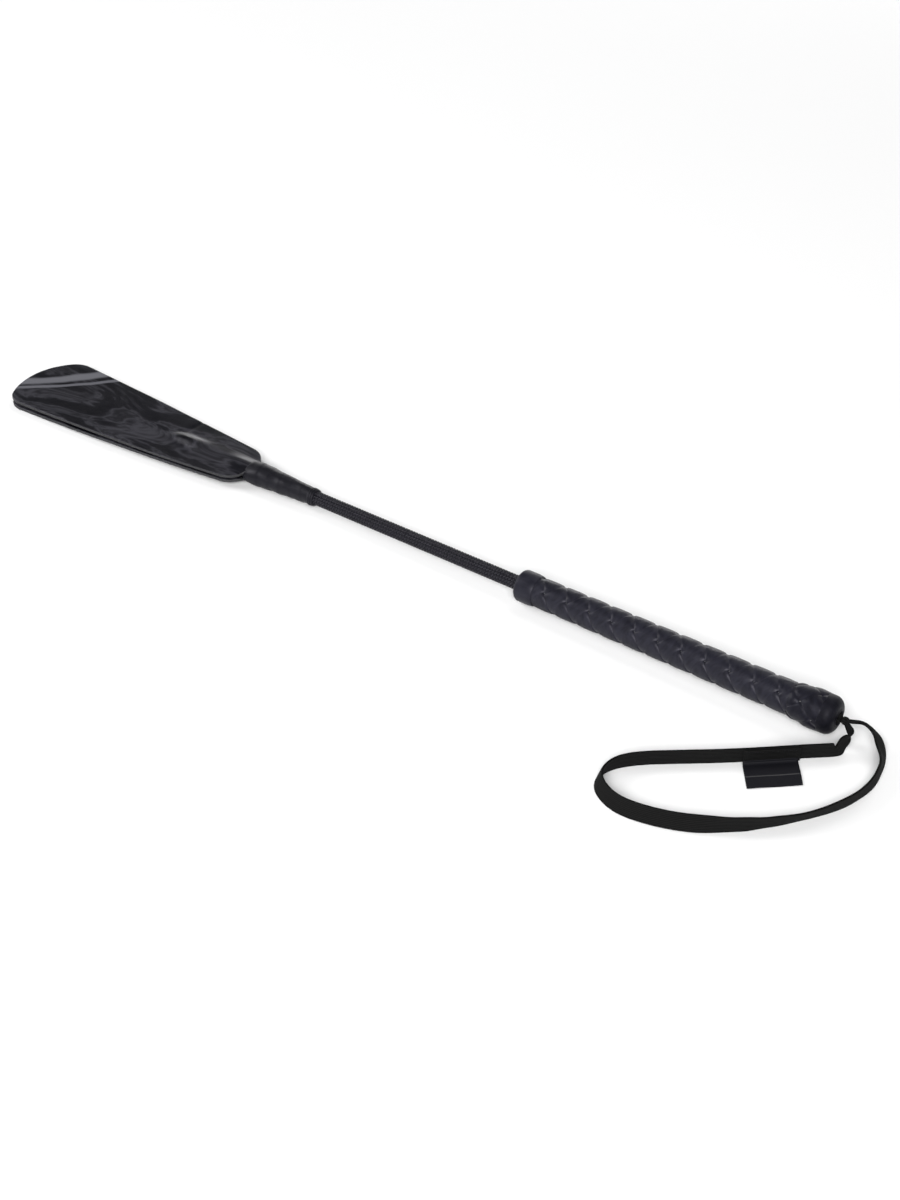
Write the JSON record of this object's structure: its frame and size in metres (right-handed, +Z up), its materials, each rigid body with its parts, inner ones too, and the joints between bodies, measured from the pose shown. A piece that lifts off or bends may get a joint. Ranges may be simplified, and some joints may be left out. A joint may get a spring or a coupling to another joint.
{
  "type": "riding crop",
  "caption": "Riding crop with a plaited leather grip, braided flexible shaft, a broad double leather tongue and a flat wrist strap with a blank label.",
  "frame": {"origin": "on the ground plane, under the middle of the crop's length, measured without the wrist strap", "axes": "+X along the crop to the butt, +Y across it, +Z up; the wrist strap lies on the -Y side"},
  "size_m": [0.6472, 0.149, 0.0241],
  "materials": {
    "leaf_leather": "glossy, marbled grey on black",
    "grip_leather": "satin, plaited",
    "collar_leather": "satin, smooth",
    "binding_leather": "satin, wrapped",
    "braided_nylon": "fine diagonal braid with a soft sheen",
    "strap_tape": "matt woven tape with lengthwise ribs",
    "label_satin": "satin weave, blank",
    "thread": "waxed",
    "cap": "satin",
    "filler": "moulded",
    "fibreglass": "drawn rod",
    "steel": "drawn wire"
  },
  "bodies": {
    "crop": {"core_rod": "fibreglass", "shaft_braid": "braided_nylon", "root_binding": "binding_leather", "binding_ring": "binding_leather", "upper_leaf_root": "leaf_leather", "lower_leaf_root": "leaf_leather", "handle_core": "filler", "handle_plait": "grip_leather", "front_whipping": "thread", "front_collar": "collar_leather", "knob_core": "filler", "knob_cover": "grip_leather", "butt_cap": "cap", "strap_anchor_pin": "steel", "strap_root": "strap_tape"},
    "upper_leaf": {"upper_leaf": "leaf_leather"},
    "lower_leaf": {"lower_leaf": "leaf_leather"},
    "strap_neck": {"strap_neck": "strap_tape"},
    "wrist_loop": {"wrist_strap": "strap_tape", "strap_overlap": "strap_tape", "overlap_stitches": "thread"},
    "label": {"label": "label_satin"}
  },
  "joints": [
    {"name": "upper_leaf_flex", "type": "hinge", "parent": "crop", "child": "upper_leaf", "pos_m": [-0.18225, 0, 0.007], "axis": [0, 1, 0], "range_deg": [0, 35], "stiffness_Nm_per_rad": 0.2, "springref_deg": -3.44},
    {"name": "lower_leaf_flex", "type": "hinge", "parent": "crop", "child": "lower_leaf", "pos_m": [-0.1822, 0, 0.0036], "axis": [0, -1, 0], "range_deg": [0, 35], "stiffness_Nm_per_rad": 0.2, "springref_deg": -3.44},
    {"name": "strap_swing", "type": "hinge", "parent": "crop", "child": "strap_neck", "pos_m": [0.30971, 0, 0.01303], "axis": [0, 0, 1], "range_deg": [0, 70]},
    {"name": "strap_lift", "type": "hinge", "parent": "strap_neck", "child": "wrist_loop", "pos_m": [0.30971, 0, 0.01303], "axis": [-0.8879, 0.46, 0], "range_deg": [0, 80]},
    {"name": "label_flip", "type": "hinge", "parent": "wrist_loop", "child": "label", "pos_m": [0.2882, -0.0411, 0.0006], "axis": [-0.7526, -0.6585, 0], "range_deg": [0, 85]}
  ]
}
